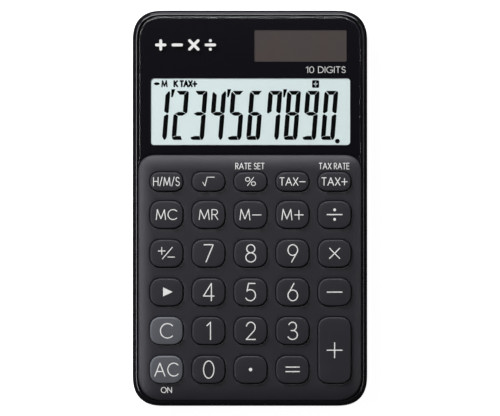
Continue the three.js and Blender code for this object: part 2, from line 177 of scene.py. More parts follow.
def inside(loops, points):
    """Whether each point is inside the loops, by the even-odd rule."""
    result = np.zeros(len(points), bool)
    px, py = points[:, 0], points[:, 1]
    for loop in loops:
        a = np.array(loop, float)[:, :2]
        b = np.roll(a, -1, axis=0)
        for (ax, ay), (bx, by) in zip(a, b):
            if ay == by:
                continue
            crosses = (ay > py) != (by > py)
            result ^= crosses & (px < (bx - ax) * (py - ay) / (by - ay) + ax)
    return result


def triangulate(loops, extra_points=()):
    """Constrained triangles over the convex hull of the loops: (points, triangles)."""
    points, edges = [], []
    for loop in loops:
        first = len(points)
        points += [tuple(p[:2]) for p in loop]
        edges += [(first + i, first + (i + 1) % len(loop)) for i in range(len(loop))]
    points += [tuple(p) for p in extra_points]
    made = geometry.delaunay_2d_cdt([Vector(p) for p in points], edges, [], 0, 1e-6)
    given = [points[sources[0]] if sources else tuple(p) for p, sources in zip(made[0], made[3])]
    return np.array(given), np.array(made[2])


# ---------------- mesh building
class Shell:
    """A closed mesh being built in millimetres; points that meet share one vertex."""

    def __init__(self):
        self.points, self.faces, self.found = [], [], {}

    def vertex(self, point):
        key = tuple(round(c, SHARED_DECIMALS) for c in point)
        if key not in self.found:
            self.found[key] = len(self.points)
            self.points.append([c * MM for c in point])
        return self.found[key]

    def face(self, points):
        ids = list(dict.fromkeys(self.vertex(p) for p in points))
        if len(ids) > 2:
            self.faces.append(ids)

    def band(self, lower, upper):
        """Faces between two anticlockwise rings, facing outwards."""
        for i in range(len(lower)):
            j = (i + 1) % len(lower)
            self.face([lower[i], lower[j], upper[j], upper[i]])

    def bands(self, rings):
        for lower, upper in zip(rings, rings[1:]):
            self.band(lower, upper)

    def fill(self, outer, holes, height, up=True, extra_points=()):
        """A sheet inside `outer` and outside `holes`, lifted to height(x, y) or to its ring's own height."""
        loops = [outer, *holes]

        def key(x, y):
            return round(x, SHARED_DECIMALS), round(y, SHARED_DECIMALS)

        known = {key(x, y): z for loop in loops for x, y, z in loop}
        flat, triangles = triangulate(loops, extra_points)
        centres = flat[triangles].mean(axis=1)
        kept = triangles[inside(loops, centres)]
        lifted = [(x, y, known.get(key(x, y), height(x, y))) for x, y in flat]
        for a, b, c in kept:
            self.face([lifted[a], lifted[b], lifted[c]] if up else [lifted[c], lifted[b], lifted[a]])

    def object(self, name):
        mesh = bpy.data.meshes.new(name)
        mesh.from_pydata(self.points, [], self.faces)
        mesh.validate()
        made = bpy.data.objects.new(name, mesh)
        bpy.context.scene.collection.objects.link(made)
        return made


def stacked(name, rings):
    """A closed solid through the rings, from the bottom up."""
    shell = Shell()
    shell.bands(rings)
    shell.face(rings[0][::-1])
    shell.face(rings[-1])
    return shell.object(name)


def lofted(name, plan, levels, steps=CORNER_STEPS):
    """A solid through the plan's outline at each (height, grow) level."""
    return stacked(name, [at_height(plan.ring(grow, steps), z) for z, grow in levels])


def turned_rings(x, y, profile, sides):
    return [at_height(circle(x, y, radius, sides), z) for radius, z in profile]


def turned(name, x, y, profile, sides=48):
    """A profile of (radius, height) points turned about the upright line at (x, y)."""
    return stacked(name, turned_rings(x, y, profile, sides))


def cylinder(x, y, bottom, top, radius, sides=48):
    return turned("tool", x, y, [(radius, bottom), (radius, top)], sides)


def cylinders(places, bottom, top, radius):
    return [cylinder(place.x, place.y, bottom, top, radius) for place in places]


def block(x0, x1, y0, y1, z0, z1):
    ring = [(x0, y0), (x1, y0), (x1, y1), (x0, y1)]
    return stacked("tool", [at_height(ring, z0), at_height(ring, z1)])


def applied(made):
    """Replaces the object's mesh by its modifiers' result."""
    graph = bpy.context.evaluated_depsgraph_get()
    mesh = bpy.data.meshes.new_from_object(made.evaluated_get(graph))
    made.modifiers.clear()
    made.data = mesh


def booleans(made, steps):
    """Joins or cuts the object by each (operation, tools) step, then removes the tools."""
    tools = []
    for operation, step_tools in steps:
        for tool in step_tools:
            modifier = made.modifiers.new("boolean", "BOOLEAN")
            modifier.operation = operation
            modifier.solver = "MANIFOLD"
            modifier.object = tool
            tools.append(tool)
    applied(made)
    for tool in tools:
        bpy.data.objects.remove(tool)
    return made


def piece(made, slot, body=CASE, replaces=(), sharp_degrees=32, flat_faces=True):
    """Finishes a new piece: shading, material, the body it rides on and what it stands for."""
    made.data.shade_smooth()
    made.data.set_sharp_from_angle(angle=math.radians(sharp_degrees))
    if flat_faces:
        normals = made.modifiers.new("normals", "WEIGHTED_NORMAL")
        normals.keep_sharp = True
    made.data.materials.clear()
    made.data.materials.append(LOOKS[slot])
    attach(made, body)
    if replaces:
        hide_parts(*replaces)
    return made


# ---------------- materials
LOOKS = {}  # each material, by its slot's name


class Look:
    """A Principled material, with helpers for the nodes that feed it. Sizes are in millimetres."""

    def __init__(self, name, color, roughness, metallic=0.0, specular=0.5):
        self.material = bpy.data.materials.new(name)
        LOOKS[name] = self.material
        self.material.use_nodes = True
        self.nodes = self.material.node_tree.nodes
        self.links = self.material.node_tree.links
        self.shader = self.nodes["Principled BSDF"]
        self.shader.inputs["Base Color"].default_value = (*color, 1)
        self.shader.inputs["Roughness"].default_value = roughness
        self.shader.inputs["Metallic"].default_value = metallic
        self.shader.inputs["Specular IOR Level"].default_value = specular
        self.place = self.node("TexCoord").outputs["Object"]

    def node(self, kind, **values):
        """A new node with some of its inputs set; an underscore stands for a space."""
        made = self.nodes.new("ShaderNode" + kind)
        for name, value in values.items():
            made.inputs[name.replace("_", " ")].default_value = value
        return made

    def feed(self, name, socket):
        self.links.new(socket, self.shader.inputs[name])


    def noise(self, size, detail=2.0, stretch=(1, 1, 1)):
        mapping = self.node("Mapping", Scale=stretch)
        texture = self.node("TexNoise", Scale=1 / (size * MM), Detail=detail)
        self.links.new(self.place, mapping.inputs["Vector"])
        self.links.new(mapping.outputs["Vector"], texture.inputs["Vector"])
        return texture.outputs["Fac"]

    def stripes(self, size, direction):
        """A wave across the direction, which repeats once in each `size`."""
        texture = self.node("TexWave", Scale=2 * math.pi / 20 / (size * MM))
        texture.bands_direction = direction
        self.links.new(self.place, texture.inputs["Vector"])
        return texture.outputs["Fac"]

    def ranged(self, value, low, high, from_low=0.3, from_high=0.7):
        """The value moved to the range from low to high; noise mostly lies between 0.3 and 0.7."""
        mapped = self.node("MapRange", From_Min=from_low, From_Max=from_high, To_Min=low, To_Max=high)
        self.links.new(value, mapped.inputs["Value"])
        return mapped.outputs["Result"]

    def mixed(self, factor, first, second):
        """first where the factor is 0, second where it is 1; each is a colour or a socket."""
        node = self.node("Mix")
        node.data_type = "RGBA"
        self.links.new(factor, node.inputs["Factor"])
        for name, value in (("A", first), ("B", second)):
            socket = next(s for s in node.inputs if s.name == name and s.type == "RGBA")
            if isinstance(value, bpy.types.NodeSocket):
                self.links.new(value, socket)
            else:
                socket.default_value = (*value, 1)
        return next(s for s in node.outputs if s.type == "RGBA")

    def bumped(self, value, depth, strength=1.0):
        bump = self.node("Bump", Distance=depth * MM, Strength=strength)
        self.links.new(value, bump.inputs["Height"])
        self.feed("Normal", bump.outputs["Normal"])

    def edges(self):
        """0 on flats and 1 on sharp outside edges."""
        flat, sharp = 0.51, 0.58
        pointiness = self.node("NewGeometry").outputs["Pointiness"]
        return self.ranged(pointiness, 0.0, 1.0, flat, sharp)


def shade(color, factor):
    return tuple(c * factor for c in color)


def moulded(name, color, roughness, grain=0.12, depth=0.004, tint=0.08, spread=0.05, wear=0.25, **more):
    """Moulded plastic or rubber: fine texture, uneven gloss, slight colour drift and polished edges."""
    look = Look(name, color, roughness, **more)
    drift = look.ranged(look.noise(9.0), 0, 1)
    body = look.mixed(drift, shade(color, 1 - tint), shade(color, 1 + tint))
    look.feed("Base Color", look.mixed(look.edges(), body, shade(color, 1 + wear)))
    fine = look.noise(grain, detail=4)
    look.feed("Roughness", look.ranged(fine, roughness - spread, roughness + spread))
    look.bumped(fine, depth)


def brushed(name, color, roughness):
    """Bare or plated metal with a drawn grain."""
    look = Look(name, color, roughness, metallic=1.0)
    grain = look.noise(0.5, detail=5, stretch=(1, 12, 1))
    look.feed("Base Color", look.mixed(grain, shade(color, 0.8), shade(color, 1.15)))
    look.feed("Roughness", look.ranged(grain, roughness - 0.1, roughness + 0.12))
    look.bumped(grain, 0.003)


def clear_pane(name, roughness):
    """Thin clear acrylic: what is behind shows through, and the surface mirrors the room."""
    acrylic_ior = 1.49
    look = Look(name, (1, 1, 1), roughness)
    clear = look.node("BsdfTransparent")
    gloss = look.node("BsdfGlossy", Roughness=roughness)
    fresnel = look.node("Fresnel", IOR=acrylic_ior)
    behind = look.node("NewGeometry").outputs["Backfacing"]
    front_only = look.node("Mix", B=0.0)
    look.links.new(behind, front_only.inputs["Factor"])
    look.links.new(fresnel.outputs["Fac"], front_only.inputs["A"])
    mix = look.node("MixShader")
    look.links.new(front_only.outputs["Result"], mix.inputs["Fac"])
    look.links.new(clear.outputs["BSDF"], mix.inputs[1])
    look.links.new(gloss.outputs["BSDF"], mix.inputs[2])
    look.links.new(mix.outputs["Shader"], look.nodes["Material Output"].inputs["Surface"])
    look.nodes.remove(look.shader)


def striped(name, dark, light, size, direction, roughness):
    look = Look(name, dark, roughness)
    look.feed("Base Color", look.mixed(look.stripes(size, direction), dark, light))
    look.bumped(look.noise(0.2), 0.003)


def circuit(name):
    """Green solder resist over copper traces, which run across in some zones and along in others."""
    look = Look(name, (0.02, 0.12, 0.05), 0.35)
    bare, copper = (0.015, 0.10, 0.04), (0.05, 0.22, 0.09)
    across = look.ranged(look.stripes(1.6, "X"), 0, 1, 0.80, 0.86)
    along = look.ranged(look.stripes(2.3, "Y"), 0, 1, 0.86, 0.92)
    zones = look.ranged(look.noise(14.0, detail=0), 0, 1, 0.49, 0.51)
    traces = look.mixed(zones, (0, 0, 0), (1, 1, 1))
    tracks = look.mixed(across, bare, copper)
    rows = look.mixed(along, bare, copper)
    look.feed("Base Color", look.mixed(traces, tracks, rows))
    look.feed("Roughness", look.ranged(look.noise(2.0), 0.28, 0.42))
    look.bumped(across, 0.02, 0.5)


def liquid_crystal(name, color):
    """The pale display field, very slightly mottled."""
    look = Look(name, color, 0.35, specular=0.05)
    fine = look.noise(0.35, detail=3)
    broad = look.noise(14.0, detail=1)
    field = look.mixed(broad, shade(color, 0.985), shade(color, 1.015))
    look.feed("Base Color", look.mixed(fine, field, shade(color, 1.03)))
    look.bumped(fine, 0.001)


def solar_glass(name, color):
    """The dark cell, a little redder in places."""
    look = Look(name, color, 0.35, specular=0.1)
    broad = look.ranged(look.noise(9.0, detail=1), 0, 1, 0.4, 0.7)
    look.feed("Base Color", look.mixed(broad, color, (color[0] * 1.05, color[1] * 0.98, color[2] * 0.98)))
    look.bumped(look.noise(0.3), 0.002)


DARK_PLASTIC = (0.0172, 0.0160, 0.0204)

moulded("gloss_rim", (0.005, 0.0047, 0.0064), 0.09, grain=0.5, depth=0.001, spread=0.02)
clear_pane("clear_panel", 0.15)
moulded("panel_print", (0.0025, 0.0022, 0.0044), 0.5, specular=0.0)
moulded("key_plate", DARK_PLASTIC, 0.34, grain=0.16, depth=0.005, specular=0.3)
moulded("key_cap", DARK_PLASTIC, 0.34, grain=0.16, depth=0.004, wear=0.35, specular=0.3)
moulded("grey_key", (0.075, 0.0795, 0.0925), 0.32, grain=0.16, depth=0.004)
moulded("legend", (0.74, 0.735, 0.725), 0.5, grain=0.08, depth=0.002, tint=0.03, wear=0.0)
moulded("lcd_segment", (0.0008, 0.001, 0.0012), 0.4, grain=0.2, depth=0.0005, specular=0.0)
moulded("rear_case", (0.011, 0.011, 0.013), 0.5, grain=0.28, depth=0.02)
moulded("foot_rubber", (0.018, 0.018, 0.02), 0.85, grain=0.2, depth=0.02)
brushed("bright_steel", (0.62, 0.62, 0.63), 0.3)
circuit("circuit_board")
moulded("silicone", (0.5, 0.5, 0.52), 0.7, grain=0.3, depth=0.01)
clear_pane("display_glass", 0.05)
liquid_crystal("polariser", (0.715, 0.822, 0.825))
brushed("reflector", (0.7, 0.74, 0.74), 0.5)
moulded("inner_black", (0.015, 0.015, 0.018), 0.6)
striped("zebra_rubber", (0.05, 0.045, 0.04), (0.45, 0.36, 0.33), 0.2, "X", 0.7)
solar_glass("solar_cell", (0.066, 0.0545, 0.052))
moulded("foam", (0.03, 0.03, 0.032), 0.95, grain=0.4, depth=0.12)
moulded("red_wire", (0.4, 0.02, 0.02), 0.4)
moulded("black_wire", (0.01, 0.01, 0.01), 0.4)
brushed("contact_metal", (0.55, 0.52, 0.44), 0.3)
moulded("epoxy", (0.01, 0.01, 0.01), 0.25, grain=1.2, depth=0.02)
moulded("ceramic", (0.35, 0.25, 0.15), 0.5)


# ---------------- the case's outlines, from the frame
FRONT_LOW, FRONT_HIGH = corners("front_case")
REAR_LOW = corners("rear_cover")[0]
PANEL_LOW, PANEL_HIGH = corners("display_panel")
MASK_LOW, MASK_HIGH = corners("panel_mask")
PLATE_LOW, PLATE_HIGH = corners("key_plate")
LCD_LOW, LCD_HIGH = corners("lcd_polariser")
SOLAR_LOW, SOLAR_HIGH = corners("solar_cell")
RIM_TOP = PANEL_HIGH.z
PLATE_TOP, FACE_BOTTOM = PLATE_HIGH.z, MASK_LOW.z
SCREW_NAMES = ("top_left", "top_right", "bottom_left", "bottom_right")
SCREW_PLACES = [middle(f"case_screw_{name}") for name in SCREW_NAMES]
FOOT_NAMES = ("front_left", "front_right", "back_left", "back_right")

BODY_PLAN = Plan(FRONT_LOW, FRONT_HIGH, BODY_REACH, BODY_POWER)
PLATE_PLAN = Plan(PLATE_LOW, PLATE_HIGH, PLATE_REACH_TOP, PLATE_POWER, PLATE_REACH_BOTTOM)
LCD_MARGIN, SOLAR_MARGIN = 0.25, 0.3  # how far the film and the cell reach behind the print


def window(low, high, margin, reach):
    inwards = Vector((margin, margin, 0))
    return Plan(low + inwards, high - inwards, reach)


LCD_WINDOW = window(LCD_LOW, LCD_HIGH, LCD_MARGIN, 0.95)
SOLAR_WINDOW = window(SOLAR_LOW, SOLAR_HIGH, SOLAR_MARGIN, 0.4)


PLATE_OUTLINE = np.array(PLATE_PLAN.ring(steps=PLATE_STEPS))
PLATE_OUTLINE_NEXT = np.roll(PLATE_OUTLINE, -1, axis=0)


def plate_height(x, y):
    """The pillowed top of the key plate, by the distance to the nearest point of its outline."""
    run = PLATE_OUTLINE_NEXT - PLATE_OUTLINE
    length = np.maximum((run**2).sum(axis=1), 1e-12)
    share = np.clip((((x, y) - PLATE_OUTLINE) * run).sum(axis=1) / length, 0, 1)
    gaps = PLATE_OUTLINE + run * share[:, None] - (x, y)
    inwards = min(math.sqrt((gaps**2).sum(axis=1).min()) / PILLOW, 1.0)
    return PLATE_TOP - (PLATE_TOP - PLATE_EDGE) * (1 - inwards) ** 2


# ---------------- case
def quarter_round(radius, steps):
    """How far in and how far down each step of a rounded edge lies, from its side to its top."""
    angles = [i / steps * math.pi / 2 for i in range(steps + 1)]
    return [(radius * (1 - math.cos(angle)), radius * (1 - math.sin(angle))) for angle in angles]


def rolled_edge(across, down, steps):
    """(height, inset) of each step of an edge that falls ever faster from the rim's height."""
    shares = [i / steps for i in range(steps + 1)]
    return [(RIM_TOP - down * (1 - share) ** 2, across * share) for share in shares]


def make_cell_ring():
    """The ring that holds the button cell, open on one side for its contacts."""
    cell = middle("button_cell")
    inner, outer, bottom, below, gap = 5.95, 6.75, 2.3, 2, 2
    ring = cylinder(cell.x, cell.y, bottom, DECK_BOTTOM + 0.2, outer)
    bore = cylinder(cell.x, cell.y, below, DECK_BOTTOM, inner)
    opening = block(cell.x - gap, cell.x + gap, cell.y - 8, cell.y - 3, below, DECK_BOTTOM - 0.2)
    return booleans(ring, [("DIFFERENCE", [bore, opening])])


def make_front_case():
    split = FRONT_LOW.z
    bevel = [(split + up, -inset) for up, inset in PARTING_BEVEL]
    rim = [(z, -inset) for z, inset in rolled_edge(RIM_ACROSS, RIM_DOWN, 18)]
    shell = lofted("front_case_moulding", BODY_PLAN, [*bevel, *rim])
    above, below = RIM_TOP + 1, split - 1
    lip = [(RIM_TOP - 0.12, -WALL), (RIM_TOP - 0.04, -WALL + 0.03), (above, -WALL + 0.9)]
    openings = [
        lofted("tool", BODY_PLAN, [(DECK_TOP, -WALL), *lip]),
        lofted("tool", BODY_PLAN, [(below, -WALL), (DECK_BOTTOM, -WALL)]),
        lofted("tool", LCD_WINDOW, [(below, WINDOW_CLEARANCE), (above, WINDOW_CLEARANCE)], 6),
        lofted("tool", SOLAR_WINDOW, [(below, WINDOW_CLEARANCE), (above, WINDOW_CLEARANCE)], 6),
        lofted("tool", PLATE_PLAN, [(below, -PLATE_LEDGE), (above, -PLATE_LEDGE)]),
    ]
    boss_bottom, boss_radius, bore_top = 3.1, 1.7, 5.5
    bosses = cylinders(SCREW_PLACES, boss_bottom, DECK_TOP, boss_radius)
    bores = cylinders(SCREW_PLACES, boss_bottom - 1, bore_top, SCREW_HOLE)
    added = [make_cell_ring(), *bosses]
    booleans(shell, [("DIFFERENCE", openings), ("UNION", added), ("DIFFERENCE", bores)])
    piece(shell, "gloss_rim", replaces=["front_case"])


def make_rear_cover():
    bottom, split = REAR_LOW.z, REAR_LOW.z + REAR_DEPTH
    under = [(bottom + up, -inset) for up, inset in REAR_CORNER]
    bevel = [(split - down, -inset) for down, inset in reversed(PARTING_BEVEL)]
    shell = lofted("rear_cover_moulding", BODY_PLAN, [*under, *bevel])

    lip_grow = -WALL - 0.1
    lip = lofted("tool", BODY_PLAN, [(split - 0.3, lip_grow), (split + 0.7, lip_grow)])
    cavity = [(REAR_FLOOR, -2.9), (REAR_FLOOR + 0.8, -2.15), (split + 1, -2.05)]

    root = REAR_FLOOR - 0.2  # ribs and bosses start inside the floor
    rib_half_x, rib_half_y, rib_top, rib_places = 33, 0.4, 3.05, (-38, -16, 8, 36)
    ribs = [
        block(-rib_half_x, rib_half_x, y - rib_half_y, y + rib_half_y, root, rib_top) for y in rib_places
    ]
    boss_top, boss_radius, spigot_radius = 3.0, 2.4, 2.0
    bosses = cylinders(SCREW_PLACES, root, boss_top, boss_radius)
    mouth, well = 1.95, 1.65  # radii of the hole for a screw's head
    screw_cuts = []
    for p in SCREW_PLACES:
        head = [(mouth, BELOW), (well, bottom + 0.15), (well, REAR_FLOOR)]
        screw_cuts.append(turned("tool", p.x, p.y, head))
        screw_cuts.append(cylinder(p.x, p.y, 1.1, 3.6, SCREW_HOLE))
        screw_cuts.append(cylinder(p.x, p.y, rib_top, split + 2, spigot_radius))

    pocket_top, pocket_radius = 0.9, 3.2
    feet = [middle(f"foot_{name}") for name in FOOT_NAMES]
    pockets = cylinders(feet, BELOW, pocket_top, pocket_radius)
    label = lofted("tool", Plan((-19, -8.5), (19, 8.5), 1.2), [(BELOW, 0), (bottom + 0.12, 0)], 8)
    finger_grooves = [block(-9, 9, y - 0.25, y + 0.25, BELOW, bottom + 0.15) for y in (-53.2, -52.2, -51.2)]
    booleans(
        shell,
        [
            ("UNION", [lip]),
            ("DIFFERENCE", [lofted("tool", BODY_PLAN, cavity)]),
            ("UNION", [*ribs, *bosses]),
            ("DIFFERENCE", [*screw_cuts, *pockets, label, *finger_grooves]),
        ],
    )
    piece(shell, "rear_case", replaces=["rear_cover"])


def make_feet():
    edge = [(1.1, 0.04), (0.95, 0.0), (0.5, 0.0), (0.2, 0.06), (0.04, 0.2)]  # (inset, height)
    for name in FOOT_NAMES:
        low, high = corners(f"foot_{name}")
        centre, radius = (low + high) / 2, (high.x - low.x) / 2
        profile = [(radius - inset, z) for inset, z in edge] + [(radius, 0.4), (radius, high.z)]
        foot = turned(f"rubber_foot_{name}", centre.x, centre.y, profile, 64)
        piece(foot, "foot_rubber", replaces=[f"foot_{name}"])


def make_screws():
    """Pan-head tapping screws, head down, with a cross recess and a ridged shank."""
    seat, shank, core, tip, ridges = 1.58, 0.85, 0.65, 0.25, 8
    arm, half_slot, slot_depth = 0.85, 0.17, 0.55
    dome = [(0.55, 0.0), (0.8, 0.08), (0.95, 0.25), (1, 0.5)]  # (share of the head's radius, height)
    for place, name in zip(SCREW_PLACES, SCREW_NAMES):
        low, high = corners(f"case_screw_{name}")
        x, y, head = place.x, place.y, (high.x - low.x) / 2
        profile = [(head * share, low.z + up) for share, up in dome] + [(head, seat), (core, seat)]
        pitch = (high.z - 0.4 - seat) / ridges
        for i in range(ridges):
            profile += [(shank, seat + (i + 0.5) * pitch), (core, seat + (i + 1) * pitch)]
        profile.append((tip, high.z))
        depth = low.z + slot_depth
        cross = [
            block(x - arm, x + arm, y - half_slot, y + half_slot, -0.5, depth),
            block(x - half_slot, x + half_slot, y - arm, y + arm, -0.5, depth),
        ]
        screw = booleans(turned(f"tapping_screw_{name}", x, y, profile, 32), [("DIFFERENCE", cross)])
        piece(screw, "bright_steel", replaces=[f"case_screw_{name}"])


# ---------------- display panel
def panel_ring(inset):
    """The panel's outline: the case's upper corners, then back along the key plate's upper corners."""
    side = BODY_PLAN.half_x - WALL - PANEL_GROOVE - inset
    grow = PLATE_SEAM + inset
    reach = PLATE_PLAN.reach + grow
    start = math.acos(((side - PLATE_PLAN.half_x - grow + reach) / reach) ** (PLATE_PLAN.power / 2))
    body_grow = -WALL - PANEL_GROOVE - inset
    turn = math.pi / 2
    steps = range(CORNER_STEPS + 1)
    right = [BODY_PLAN.corner(1, 1, body_grow, turn * i / CORNER_STEPS) for i in steps]
    left = [BODY_PLAN.corner(-1, 1, body_grow, turn * i / CORNER_STEPS) for i in reversed(steps)]
    angles = [start + (turn - start) * i / CORNER_STEPS for i in steps]
    plate_left = [PLATE_PLAN.corner(-1, 1, grow, angle) for angle in angles]
    plate_right = [PLATE_PLAN.corner(1, 1, grow, angle) for angle in reversed(angles)]
    return right + left + plate_left + plate_right


def make_display_panel():
    shell = Shell()
    levels = [(PANEL_LOW.z, 0.0), *rolled_edge(PANEL_BEVEL, PANEL_BEVEL_DROP, 12)]
    rings = [at_height(divided(panel_ring(inset), panel_ring(0)), z) for z, inset in levels]
    shell.bands(rings)
    shell.fill(rings[0], [], lambda x, y: PANEL_LOW.z, up=False)
    shell.fill(rings[-1], [], lambda x, y: RIM_TOP)
    window_pane = shell.object("display_window")
    piece(window_pane, "clear_panel", replaces=["display_panel"], sharp_degrees=50, flat_faces=False)


def make_panel_mask():
    shell = Shell()
    loops = [panel_ring(MASK_INSET), LCD_WINDOW.ring(steps=10), SOLAR_WINDOW.ring(steps=10)]
    lower = [at_height(loop, MASK_LOW.z) for loop in loops]
    upper = [at_height(loop, MASK_HIGH.z) for loop in loops]
    shell.band(lower[0], upper[0])
    for i in (1, 2):
        shell.band(upper[i], lower[i])
    shell.fill(lower[0], lower[1:], lambda x, y: MASK_LOW.z, up=False)
    shell.fill(upper[0], upper[1:], lambda x, y: MASK_HIGH.z)
    piece(shell.object("window_print"), "panel_print", replaces=["panel_mask"])


def pane(name, plan, low, high, margin, chamfer, bevel, steps):
    """A flat piece behind a window, which reaches past the window by a margin."""
    levels = [(low.z, margin - chamfer), (low.z + chamfer, margin)]
    levels += [(high.z - bevel, margin), (high.z, margin - bevel)]
    return lofted(name, plan, levels, steps)


def make_windows():
    """The display film and the solar cell that show through the panel."""
    film = pane("display_film", LCD_WINDOW, LCD_LOW, LCD_HIGH, LCD_MARGIN, 0, 0.02, 8)
    piece(film, "polariser", replaces=["lcd_polariser"])
    glass = pane("solar_glass", SOLAR_WINDOW, SOLAR_LOW, SOLAR_HIGH, SOLAR_MARGIN, 0.03, 0.05, 4)
    piece(glass, "solar_cell", replaces=["solar_cell"])


# ---------------- keys
KEY_NAMES = sorted(body[4:] for body in frame["bodies"] if body.startswith("key_"))


def key_plan(name):
    low, high = corners(f"key_{name}")
    inwards = Vector((KEY_FLANGE, KEY_FLANGE, 0))
    low, high = low + inwards, high - inwards
    reach = SHORT_KEY_REACH if high.y - low.y < SHORT_KEY_LIMIT else KEY_REACH
    return Plan(low, high, reach, KEY_POWER)


KEY_PLANS = {name: key_plan(name) for name in KEY_NAMES}
CAP_TOP = corners("key_5")[1].z - CAP_BELOW_LEGEND
FLANGE_BOTTOM = corners("key_5")[0].z
FLANGE_TOP = FLANGE_BOTTOM + FLANGE_THICKNESS


def cap_height(plan, x, y):
    """The slightly domed top of a key."""
    share = min(plan.inset_at(x, y) / min(plan.half_x, plan.half_y), 1)
    return CAP_TOP - KEY_DOME * (1 - share) ** 2


def make_key(name):
    plan = KEY_PLANS[name]
    half = min(plan.half_x, plan.half_y)
    levels = [(FLANGE_BOTTOM, KEY_FLANGE), (FLANGE_TOP, KEY_FLANGE), (FLANGE_TOP, 0)]
    shoulder = CAP_TOP - KEY_DOME * (1 - KEY_ROUND / half) ** 2
    levels += [(shoulder - drop, -inset) for inset, drop in quarter_round(KEY_ROUND, 7)]
    rings = 6
    for i in range(1, rings + 1):
        inset = KEY_ROUND + (half - KEY_CROWN - KEY_ROUND) * i / rings
        levels.append((CAP_TOP - KEY_DOME * (1 - inset / half) ** 2, -inset))
    slot = "grey_key" if name in ("c", "ac") else "key_cap"
    cap = lofted(f"key_cap_{name}", plan, levels, 14)
    piece(cap, slot, body=f"key_{name}", replaces=[f"key_{name}"], sharp_degrees=45)


def on_plate(ring, drop):
    """The ring at the height of the key plate's top, less a drop."""
    return [(x, y, plate_height(x, y) - drop) for x, y in ring]


def plate_points():
    """Points that carry the plate's pillowed shape between its edge and its holes."""
    crowns, crown_count = [], 8
    for i in range(1, crown_count + 1):
        inset = PLATE_FILLET + (PILLOW - PLATE_FILLET) * i / crown_count
        crowns += divided(PLATE_PLAN.ring(-inset, PLATE_STEPS))
    pitch = 1.1
    columns = int(PLATE_PLAN.half_x / pitch)
    lines = int(PLATE_PLAN.half_y / pitch)
    grid = [
        (PLATE_PLAN.x + i * pitch, PLATE_PLAN.y + j * pitch)
        for i in range(-columns, columns + 1)
        for j in range(-lines, lines + 1)
    ]
    points = np.array([p for p in grid if PLATE_PLAN.inset_at(*p) > PILLOW + 0.3] + crowns)
    holes = [plan.ring(KEY_GAP + HOLE_ROUND + 0.12, HOLE_STEPS) for plan in KEY_PLANS.values()]
    edge = PLATE_PLAN.ring(-PLATE_FILLET - 0.1)
    return points[inside([edge], points) & ~inside(holes, points)]


def make_key_plate():
    """The pillowed plate, each hole with a rounded edge, and its heat-staking posts."""
    shell = Shell()
    outline = PLATE_PLAN.ring(steps=PLATE_STEPS)
    base = at_height(divided(outline), FACE_BOTTOM)
    rings = [base]
    for inset, drop in quarter_round(PLATE_FILLET, 5):
        rings.append(on_plate(divided(PLATE_PLAN.ring(-inset, PLATE_STEPS), outline), drop))
    shell.bands(rings)

    tops, floors = [], []
    for plan in KEY_PLANS.values():
        hole_rings = []
        for out, drop in quarter_round(HOLE_ROUND, 4):
            ring = divided(plan.ring(KEY_GAP + out, HOLE_STEPS), plan.ring(0, HOLE_STEPS))
            hole_rings.append(on_plate(ring, drop))
        floors.append([(x, y, FACE_BOTTOM) for x, y, z in hole_rings[0]])
        tops.append(hole_rings[-1])
        shell.bands([*reversed(hole_rings), floors[-1]])
    shell.fill(rings[-1], tops, plate_height, extra_points=plate_points())
    shell.fill(base, floors, lambda x, y: FACE_BOTTOM, up=False)

    columns_apart = middle("key_5").x - middle("key_4").x
    post_radius, post_rows = 0.75, (-7.7, -30.8)
    posts = [
        cylinder(side * 1.5 * columns_apart, y, PLATE_LOW.z, FACE_BOTTOM + 0.3, post_radius, 24)
        for side in (-1, 1)
        for y in post_rows
    ]
    plate = booleans(shell.object("key_plate_moulding"), [("UNION", posts)])
    piece(plate, "key_plate", replaces=["key_plate"], flat_faces=False)


def make_dome(name, plan, bottom, top):
    """One dome, open underneath, under its key."""
    foot, sides = 3.0, 32
    outside = [(foot, bottom), (foot, bottom + 0.3), (foot - 0.2, bottom + 0.6), (foot - 0.75, bottom + 1.2)]
    outside += [(foot - 1.0, top - 0.1), (foot - 1.1, top)]
    hollow = [(foot - 1.25, top - 0.6), (foot - 1.0, bottom + 0.9), (foot - 0.45, bottom + 0.3)]
    hollow += [(foot - 0.35, bottom)]
    outer = turned_rings(plan.x, plan.y, outside, sides)
    inner = turned_rings(plan.x, plan.y, hollow, sides)
    shell = Shell()
    shell.bands(outer)
    shell.face(outer[-1])
    shell.bands(inner)
    shell.face(inner[0][::-1])
    shell.band(inner[-1], outer[0])
    dome = piece(shell.object(f"dome_{name}"), "silicone", replaces=["dome_mat"])
    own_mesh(dome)


def make_dome_mat():
    """The silicone sheet stays put, and each key has a dome under it."""
    low, high = corners("dome_mat")
    corner, bevel, well_radius = 3.0, 0.1, 3.05
    sheet_top = low.z + 0.48
    levels = [(low.z, 0), (sheet_top - bevel, 0), (sheet_top, -bevel)]
    sheet = lofted("dome_sheet", Plan(low, high, corner), levels, 8)
    wells = cylinders(KEY_PLANS.values(), low.z - 1, sheet_top + 1, well_radius)
    booleans(sheet, [("DIFFERENCE", wells)])
    piece(sheet, "silicone", replaces=["dome_mat"])
    for name, plan in KEY_PLANS.items():
        make_dome(name, plan, low.z, high.z)


# ---------------- printed signs
def arc(x, y, radius_x, radius_y, start, end):
    """Points along an ellipse from one angle to another, in degrees."""
    count = max(2, int(abs(end - start) / 11) + 1)
    angles = [math.radians(start + (end - start) * i / (count - 1)) for i in range(count)]
    return [(x + radius_x * math.cos(a), y + radius_y * math.sin(a)) for a in angles]


def oval(x, y, radius_x, radius_y):
    return arc(x, y, radius_x, radius_y, 0, 360)


def segments(*points):
    """A straight stroke from each point to the next."""
    return [[start, end] for start, end in zip(points, points[1:])]


RING = oval(0.5, 0.5, 0.5, 0.5)
